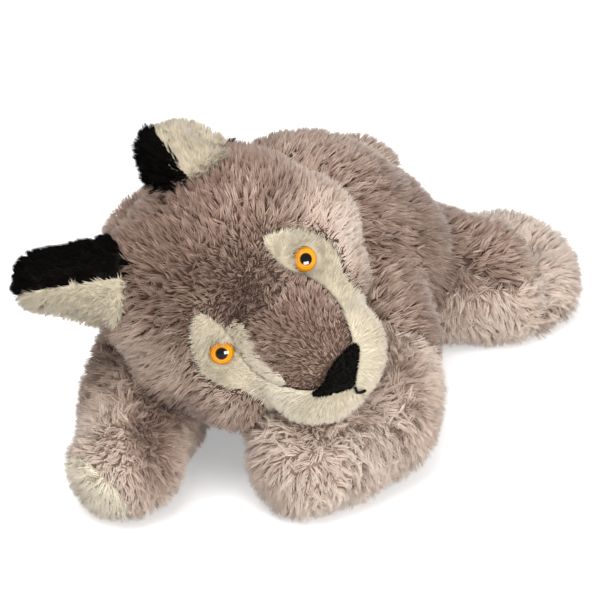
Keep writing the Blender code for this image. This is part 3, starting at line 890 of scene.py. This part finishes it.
class PLUSHWOLF_OT_grow_pile(Operator):
    """Grow the combed pile on every cloth skin"""

    bl_idname = "plush_wolf.grow_pile"
    bl_label = "Grow the pile"

    def execute(self, context):
        pile = settings()
        dye = colours()
        dark = [0.6 * c for c in dye.taupe_deep]
        soft = [0.5 * (c + d) for c, d in zip(dye.beige, dye.beige_deep)]
        # The lowest stops are umber, painted shade for the folds and creases.
        fold_shade_roots = [0.5 * c for c in dye.fold_shade]
        roots = ((0.0, fold_shade_roots), (BROWN, dark), (TAUPE, dye.taupe_deep), (BEIGE, dye.beige_deep), (1.0, soft))
        tips = ((0.0, dye.fold_shade), (BROWN, dye.brown), (TAUPE, dye.taupe), (BEIGE, dye.beige), (1.0, dye.pale))
        plush = pile_material("taupe and beige pile", roots, tips)
        cream = pile_material(
            "cream pile",
            ((0.0, dye.cream_deep), (0.6, dye.cream), (1.0, dye.cream_light)),
            ((0.0, [0.55 * c for c in dye.cream_deep]), (0.5, dye.cream), (1.0, dye.cream_light)),
        )
        black = pile_material("black pile", *black_tones(), rough=0.7, sheen=0.0, shine=0.02)
        head = Tuft(
            pile.head_long / MM, 0.75, 0.66, 52000, clump=0.35, every=7, stretch=short_on_muzzle, stray=0.45
        )
        body = Tuft(pile.body_long / MM, 0.95, 0.68, 78000, clump=0.4, every=7, stray=0.55)
        leg = Tuft(pile.leg_long / MM, 0.8, 0.6, 20500, clump=0.4, wander=0.8, every=8, stray=0.75)
        tail = Tuft(pile.tail_long / MM, 0.95, 0.7, 12500, clump=0.4, wander=0.7, every=9, stray=0.6)
        ear = Tuft(pile.ear_long / MM, 0.8, 0.8, 5800, clump=0.6, every=16)
        ear_tufts = Tuft(1.5 * pile.ear_long / MM, 0.8, 0.7, 5000, clump=0.7, every=16)
        short = Tuft(pile.cream_long / MM, 0.6, 0.8, 10500, clump=0.15, stray=0.2)
        lining = Tuft(1.3 * pile.cream_long / MM, 0.7, 0.7, 5600, clump=0.35, every=8, stray=0.6)
        sole = Tuft(1.5 * pile.cream_long / MM, 0.8, 0.6, 2600, clump=0.4, wander=0.7, every=8, stray=0.8)
        muzzle_edge = Tuft(pile.cream_long / MM, 0.7, 0.8, 1500, clump=0.2, stray=0.3)
        ear_seam = Tuft(pile.ear_long / MM, 0.7, 0.4, 220, clump=0.6)
        ear_edge = Tuft(1.4 * pile.ear_long / MM, 0.8, 0.7, 1500, clump=0.7, every=12)
        by_muzzle = along_line(MUZZLE_LINE, MUZZLE_REACH)
        off_muzzle = off_line(MUZZLE_LINE, MUZZLE_REACH)
        by_ear = along_line(EAR_LINE, EAR_REACH)
        off_ear = off_line(EAR_LINE, EAR_REACH)
        # Name, node, look, colour, comb, where it grows and the seed of its random numbers.
        plan = (
            ("head", "head", head, plush, comb_head, off_muzzle, 11),
            ("muzzle_edge", "head", muzzle_edge, cream, comb_head, by_muzzle, 27),
            ("ear_seam_left", "ear_lining_left", ear_seam, black, comb_way(0.6, 0.0, 0.8), by_ear_seam, 28),
            ("foreleg_left", "foreleg_left", leg, plush, comb_way(-0.35, -0.5, -0.75), even, 12),
            ("foreleg_right", "foreleg_right", leg, plush, comb_way(-0.1, -0.6, -0.75), even, 13),
            ("hind_leg_left", "hind_leg_left", leg, plush, comb_way(0.35, -0.5, -0.6), even, 14),
            ("hind_leg_right", "hind_leg_right", leg, plush, comb_way(-0.4, 0.6, -0.6), even, 15),
            ("tail", "tail", tail, plush, comb_way(0.75, -0.45, -0.15), even, 16),
            ("ear_back_left", "ear_back_left", ear_tufts, black, comb_way(-0.55, 0.15, 0.6), even, 17),
            ("ear_back_right", "ear_back_right", ear, black, comb_way(-0.95, 0.0, 0.1), even, 18),
            ("ear_lining_left", "ear_lining_left", lining, cream, comb_way(-0.3, 0.55, 0.6), off_ear, 19),
            ("ear_edge_left", "ear_lining_left", ear_edge, black, comb_way(-0.6, 0.3, 0.65), by_ear, 29),
            ("ear_lining_right", "ear_lining_right", lining, cream, comb_way(-0.95, 0.0, -0.1), even, 20),
            ("face_panel_left", "face_panel_left", short, cream, comb_head, even, 21),
            ("face_panel_right", "face_panel_right", short, cream, comb_head, even, 22),
            ("sole_foreleg_left", "sole_foreleg_left", sole, plush, comb_way(-0.62, -0.78, -0.45), even, 23),
            ("sole_foreleg_right", "sole_foreleg_right", sole, cream, comb_way(-0.3, -0.8, -0.4), even, 24),
            ("sole_hind_leg_left", "sole_hind_leg_left", sole, plush, comb_way(0.5, -0.6, -0.3), even, 25),
            ("sole_hind_leg_right", "sole_hind_leg_right", sole, plush, comb_way(-0.6, 0.5, -0.3), even, 26),
        )
        for name, node, tuft, dyed, comb, weight, seed in plan:
            count = int(tuft.count * LEG_SHARE.get(node, 1.0))
            tone = TONES.get(name, TONES.get(node, plain_tone))
            rest = tree_without(node)
            edge = tree_of(BESIDE[node]) if node in BESIDE else None
            least = TRIM_SHORT if name == "head" else TRIM_LONG
            piece = grow(
                "pile_" + name, skins[node], tuft, count, comb, tone, seed, weight, rest, edge, least
            )
            self.dress(piece, dyed, node)
        rest = tree_without("torso")
        for name, part, count, seed in self.torso_parts(skins["torso"], body.count):
            piece = grow(name, part, body, count, comb_torso, TONES["torso"], seed, even, rest)
            self.dress(piece, plush, "torso")
        return {"FINISHED"}

    def dress(self, piece, dyed, node):
        piece.data.materials.append(dyed)
        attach(piece, BODY)

    def torso_parts(self, skin, total):
        """The body's pile is kept in two pieces, the fore and the rear, so that neither gets too heavy."""
        points, normals, faces = skin
        corners = points[faces]
        middle = corners.mean(1)
        fore = middle[:, 0] + 0.6 * middle[:, 1] < BODY_SPLIT
        area = np.linalg.norm(np.cross(corners[:, 1] - corners[:, 0], corners[:, 2] - corners[:, 0]), axis=1)
        parts = []
        for name, chosen, seed in (("pile_body_fore", fore, 31), ("pile_body_rear", ~fore, 32)):
            count = int(total * area[chosen].sum() / area.sum())
            parts.append((name, (points, normals, faces[chosen]), count, seed))
        return parts


def eye_turn(at, look):
    """The matrix that stands a piece made at the origin on its seat in the face."""
    look = Vector(look)
    return Matrix.Translation(Vector(at) * MM) @ look.to_track_quat("Z", "Y").to_matrix().to_4x4()


PUPIL = (0.002, 0.002, 0.003)


def eye_material(name, at, look):
    """Amber glass: black pupil, concentric rings and a darker rim, under a clear hard coat."""
    dye = colours()
    made, tree, shader = fresh_material(name)
    place = tree.nodes.new("ShaderNodeTexCoord")
    local = tree.nodes.new("ShaderNodeMapping")
    local.vector_type = "TEXTURE"
    turn = eye_turn(at, look)
    set_inputs(local, Location=turn.to_translation(), Rotation=turn.to_euler())
    tree.links.new(place.outputs["Object"], local.inputs["Vector"])
    flat = tree.nodes.new("ShaderNodeVectorMath")
    flat.operation = "MULTIPLY"
    flat.inputs[1].default_value = (1 / (EYE_R * MM), 1 / (EYE_R * MM), 0)
    tree.links.new(local.outputs["Vector"], flat.inputs[0])
    far = tree.nodes.new("ShaderNodeVectorMath")
    far.operation = "LENGTH"
    tree.links.new(flat.outputs["Vector"], far.inputs[0])
    stops = (
        (0.0, PUPIL),
        (0.43, PUPIL),
        (0.47, dye.amber_deep),
        (0.54, dye.amber),
        (0.61, [1.1 * c for c in dye.amber]),
        (0.66, [0.62 * c for c in dye.amber]),
        (0.71, [1.15 * c for c in dye.amber]),
        (0.79, dye.amber),
        (0.85, [0.55 * c for c in dye.amber]),
        (0.90, [0.9 * c for c in dye.amber]),
        (1.0, dye.amber_deep),
    )
    tree.links.new(tone_ramp(tree, far.outputs["Value"], stops), shader.inputs["Base Color"])
    set_inputs(shader, Roughness=0.4, Specular_IOR_Level=0.0)
    set_inputs(shader, Coat_Weight=1.0, Coat_Roughness=0.02, Coat_IOR=1.28)
    return made


class PLUSHWOLF_OT_set_eyes(Operator):
    """Turn the domed safety eyes and seat them in the face"""

    bl_idname = "plush_wolf.set_eyes"
    bl_label = "Set the eyes"

    def execute(self, context):
        for node, (at, look, _) in EYES.items():
            bpy.ops.object.select_all(action="DESELECT")
            bpy.ops.mesh.primitive_uv_sphere_add(segments=48, ring_count=32, radius=EYE_R * MM)
            piece = context.object
            piece.name = "glass_" + node
            bpy.ops.object.mode_set(mode="EDIT")
            bpy.ops.mesh.select_mode(type="FACE")
            bpy.ops.mesh.select_all(action="SELECT")
            bpy.ops.mesh.bisect(
                plane_co=(0, 0, 1e-6), plane_no=(0, 0, 1), use_fill=True, clear_inner=True, clear_outer=False
            )
            bpy.ops.mesh.select_all(action="SELECT")
            bpy.ops.transform.resize(value=(1, 1, EYE_DOME / EYE_R))
            bpy.ops.mesh.select_all(action="DESELECT")
            bpy.ops.object.mode_set(mode="OBJECT")
            for polygon in piece.data.polygons:
                polygon.select = polygon.normal.z < -0.9 and len(polygon.vertices) > 8
            bpy.ops.object.mode_set(mode="EDIT")
            bpy.ops.mesh.inset(thickness=EYE_LIP * MM, depth=0)
            bpy.ops.mesh.inset(thickness=(EYE_R - STEM_R - EYE_LIP) * MM, depth=0)
            bpy.ops.mesh.extrude_region_move(TRANSFORM_OT_translate={"value": (0, 0, -STEM_LONG * MM)})
            bpy.ops.mesh.inset(thickness=STEM_BEVEL * MM, depth=STEM_BEVEL * MM)
            bpy.ops.mesh.select_all(action="SELECT")
            bpy.ops.mesh.normals_make_consistent(inside=False)
            bpy.ops.object.mode_set(mode="OBJECT")
            piece.data.transform(eye_turn(at, look))
            pick(piece)
            bpy.ops.object.shade_smooth_by_angle(angle=math.radians(40))
            piece.data.materials.append(eye_material("amber glass " + node[4:], at, look))
            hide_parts(node)
            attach(piece, BODY)
        return {"FINISHED"}


class PLUSHWOLF_OT_set_nose(Operator):
    """Cover the nose in velour, stitch the mouth and finish the hidden washers"""

    bl_idname = "plush_wolf.set_nose"
    bl_label = "Set the nose and mouth"

    def execute(self, context):
        dye = colours()
        pad = copy_of_solid("nose", "velour_nose")
        smooth_skin(pad, 0.6, 0.2, 5)
        pad.data.materials.append(cloth_material("black velour backing", dye.black))
        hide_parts("nose")
        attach(pad, BODY)
        nap = pile_material("black velour", *black_tones(), rough=0.7, sheen=0.0, shine=0.0)
        tuft = Tuft(settings().velour_long / MM, 0.5, 0.7, 3200, clump=0.2)
        comb = comb_way(-0.3, 0.3, 0.9)
        pile = grow("pile_nose", arrays_of(pad), tuft, tuft.count, comb, plain_tone, 41, even)
        pile.data.materials.append(nap)
        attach(pile, BODY)
        thread = copy_of_solid("mouth_stitch", "thread_mouth")
        smooth_skin(thread, 0.22, 0.0, 2)
        thread.data.materials.append(cloth_material("black thread", dye.black))
        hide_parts("mouth_stitch")
        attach(thread, BODY)
        white = cloth_material("white plastic washer", (0.75, 0.75, 0.72))
        for node in ("eye_washer_left", "eye_washer_right"):
            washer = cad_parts[node]
            washer.data.materials.clear()
            washer.data.materials.append(white)
        return {"FINISHED"}


# The place and size of each soft box, in metres.
KEY_BOX = ((-0.35, -0.55, 1.5), 1.1)
FILL_BOX = ((0.75, -1.05, 0.45), 0.7)
EYE_BOX = ((0.50, -1.05, 0.04), 0.57)
BOXES_AIM = Vector((0, -0.05, 0.05))
FLOOR_SIZE = 12.0
FLOOR_GREY = 0.86
FLOOR_GLOW = 0.36  # seen by the camera alone, so that the floor runs into the white background
SENSOR = 36.0


class PLUSHWOLF_OT_build_stage(Operator):
    """Lay the pale floor, hang the soft boxes and aim the camera"""

    bl_idname = "plush_wolf.build_stage"
    bl_label = "Build the stage"

    def execute(self, context):
        stage = stage_settings()
        bpy.ops.object.select_all(action="DESELECT")
        bpy.ops.mesh.primitive_plane_add(size=FLOOR_SIZE, location=(0, 0, 0))
        floor = context.object
        floor.name = "floor"
        floor.data.materials.append(self.floor_material())
        self.lamp("key_box", *KEY_BOX, stage.key)
        fill_box = self.lamp("fill_box", *FILL_BOX, stage.fill)
        fill_box.visible_glossy = False
        spark = self.lamp("eye_box", *EYE_BOX, stage.spark)
        spark.visible_diffuse = False
        world = bpy.data.worlds.new("plain room")
        context.scene.world = world
        world.use_nodes = True
        nodes = world.node_tree.nodes
        light = nodes["Background"]
        white = nodes.new("ShaderNodeBackground")
        set_inputs(light, Strength=stage.sky, Color=(1, 1, 1, 1))
        set_inputs(white, Strength=1.0, Color=(1, 1, 1, 1))
        mix = nodes.new("ShaderNodeMixShader")
        links = world.node_tree.links
        links.new(self.seen(world.node_tree), mix.inputs["Fac"])
        links.new(light.outputs["Background"], mix.inputs[1])
        links.new(white.outputs["Background"], mix.inputs[2])
        links.new(mix.outputs["Shader"], nodes["World Output"].inputs["Surface"])
        lens = bpy.data.cameras.new("camera")
        lens.lens = stage.lens
        lens.sensor_width = SENSOR
        lens.clip_end = 50.0
        camera = bpy.data.objects.new("camera", lens)
        context.scene.collection.objects.link(camera)
        back = Vector((0, -math.cos(stage.pitch), math.sin(stage.pitch)))
        camera.location = Vector(stage.aim) + back * stage.distance
        camera.rotation_euler = (math.pi / 2 - stage.pitch, 0, 0)
        context.scene.camera = camera
        context.scene.view_settings.view_transform = "Standard"
        return {"FINISHED"}

    def seen(self, tree):
        """1 for what the camera sees, also in a gloss or through glass, and 0 for the light on things."""
        path = tree.nodes.new("ShaderNodeLightPath")
        share = path.outputs["Is Camera Ray"]
        for ray in ("Is Glossy Ray", "Is Transmission Ray"):
            most = tree.nodes.new("ShaderNodeMath")
            most.operation = "MAXIMUM"
            tree.links.new(share, most.inputs[0])
            tree.links.new(path.outputs[ray], most.inputs[1])
            share = most.outputs["Value"]
        return share

    def lamp(self, name, at, size, power):
        data = bpy.data.lights.new(name, "AREA")
        data.shape = "SQUARE"
        data.size = size
        data.energy = power
        lamp = bpy.data.objects.new(name, data)
        bpy.context.scene.collection.objects.link(lamp)
        lamp.location = at
        lamp.rotation_euler = (BOXES_AIM - Vector(at)).to_track_quat("-Z", "Y").to_euler()
        return lamp

    def floor_material(self):
        made, tree, shader = fresh_material("pale floor")
        set_inputs(shader, Base_Color=(FLOOR_GREY, FLOOR_GREY, FLOOR_GREY, 1))
        set_inputs(shader, Roughness=0.9, Specular_IOR_Level=0.1)
        glow = tree.nodes.new("ShaderNodeEmission")
        set_inputs(glow, Color=(1, 1, 1, 1), Strength=FLOOR_GLOW)
        both = tree.nodes.new("ShaderNodeAddShader")
        tree.links.new(shader.outputs["BSDF"], both.inputs[0])
        tree.links.new(glow.outputs["Emission"], both.inputs[1])
        mix = tree.nodes.new("ShaderNodeMixShader")
        tree.links.new(self.seen(tree), mix.inputs["Fac"])
        tree.links.new(shader.outputs["BSDF"], mix.inputs[1])
        tree.links.new(both.outputs["Shader"], mix.inputs[2])
        tree.links.new(mix.outputs["Shader"], tree.nodes["Material Output"].inputs["Surface"])
        return made


class PLUSHWOLF_PT_sidebar(Panel):
    bl_idname = "PLUSHWOLF_PT_sidebar"
    bl_label = "Plush wolf"
    bl_space_type = "VIEW_3D"
    bl_region_type = "UI"
    bl_category = "Plush wolf"

    def draw(self, context):
        column = self.layout.column()
        for operator in OPERATORS:
            column.operator(operator.bl_idname)
        for group in (settings(), colours(), stage_settings()):
            for name in group.__annotations__:
                column.prop(group, name)


OPERATORS = (
    PLUSHWOLF_OT_sew_cloth,
    PLUSHWOLF_OT_grow_pile,
    PLUSHWOLF_OT_set_eyes,
    PLUSHWOLF_OT_set_nose,
    PLUSHWOLF_OT_build_stage,
)
CLASSES = (PileSettings, ColourSettings, StageSettings, *OPERATORS, PLUSHWOLF_PT_sidebar)


def register():
    for kind in CLASSES:
        bpy.utils.register_class(kind)
    bpy.types.Scene.plush_wolf_pile = PointerProperty(type=PileSettings)
    bpy.types.Scene.plush_wolf_colours = PointerProperty(type=ColourSettings)
    bpy.types.Scene.plush_wolf_stage = PointerProperty(type=StageSettings)


def unregister():
    del bpy.types.Scene.plush_wolf_stage
    del bpy.types.Scene.plush_wolf_colours
    del bpy.types.Scene.plush_wolf_pile
    for kind in reversed(CLASSES):
        bpy.utils.unregister_class(kind)


def main():
    register()
    bpy.ops.plush_wolf.sew_cloth()
    bpy.ops.plush_wolf.grow_pile()
    bpy.ops.plush_wolf.set_eyes()
    bpy.ops.plush_wolf.set_nose()
    bpy.ops.plush_wolf.build_stage()


if __name__ == "__main__":
    main()
